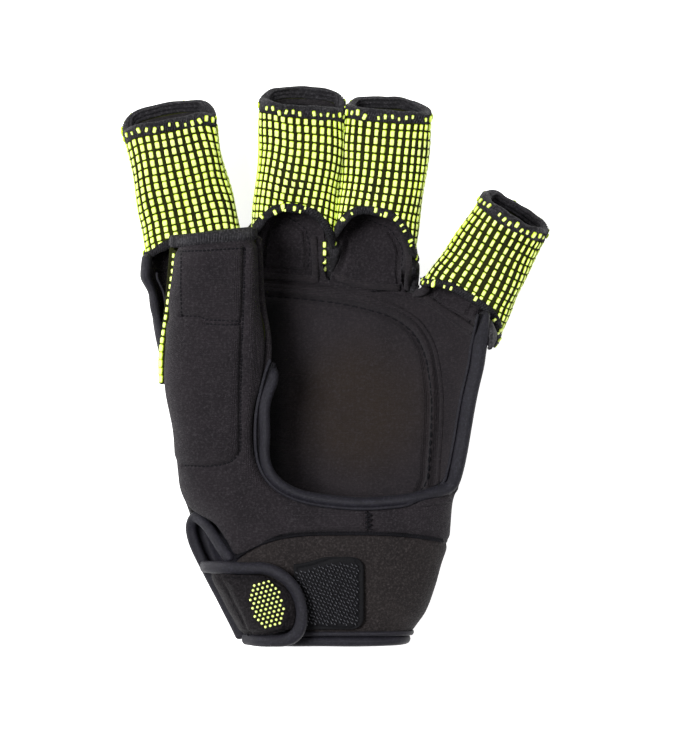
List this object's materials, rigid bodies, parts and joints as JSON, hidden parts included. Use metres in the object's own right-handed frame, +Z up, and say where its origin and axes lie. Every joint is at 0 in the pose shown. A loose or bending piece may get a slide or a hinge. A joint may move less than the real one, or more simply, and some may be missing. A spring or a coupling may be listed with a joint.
{
  "type": "field hockey glove",
  "caption": "Left-hand protective glove with an open palm, foam-padded back, half-length grip mesh fingers, a closed thumb front and a wrist cuff with a closing tab.",
  "frame": {"origin": "on the flat underside of the back pad, where the glove rests palm up, under the middle of the palm", "axes": "+Z up out of the palm, +Y from the wrist to the fingertips, +X to the little finger's side"},
  "size_m": [0.15, 0.1961, 0.0496],
  "materials": {
    "neoprene": "matt knit-faced neoprene, black",
    "loop_neoprene": "matt loop-faced neoprene, brownish black",
    "binding": "smooth stretch binding, blue-black",
    "grip_mesh": "black knit with raised fluorescent yellow blocks",
    "hem": "rolled and overlocked knit, black",
    "foam_padding": "knit-faced foam, black",
    "hook_tape": "woven nylon hook tape, black, a little shiny"
  },
  "bodies": {
    "root": {"back_shell": "neoprene", "front_panel": "neoprene", "side_panel": "neoprene", "thumb_back": "grip_mesh", "back_pad": "foam_padding", "wrist_cuff": "loop_neoprene", "hook_tape": "hook_tape", "closing_tab": "loop_neoprene", "palm_binding": "binding", "web_binding": "binding", "wrist_binding": "binding", "slit_binding": "binding", "tab_binding": "binding", "thumb_hem": "hem", "index_root": "neoprene", "index_tube": "grip_mesh", "index_hem": "hem", "index_knuckle_pad": "foam_padding", "index_finger_pad": "foam_padding", "middle_root": "neoprene", "middle_tube": "grip_mesh", "middle_hem": "hem", "middle_knuckle_pad": "foam_padding", "middle_finger_pad": "foam_padding", "ring_root": "neoprene", "ring_tube": "grip_mesh", "ring_hem": "hem", "ring_knuckle_pad": "foam_padding", "ring_finger_pad": "foam_padding", "little_root": "neoprene", "little_tube": "grip_mesh", "little_hem": "hem", "little_knuckle_pad": "foam_padding", "little_finger_pad": "foam_padding"}
  },
  "joints": []
}
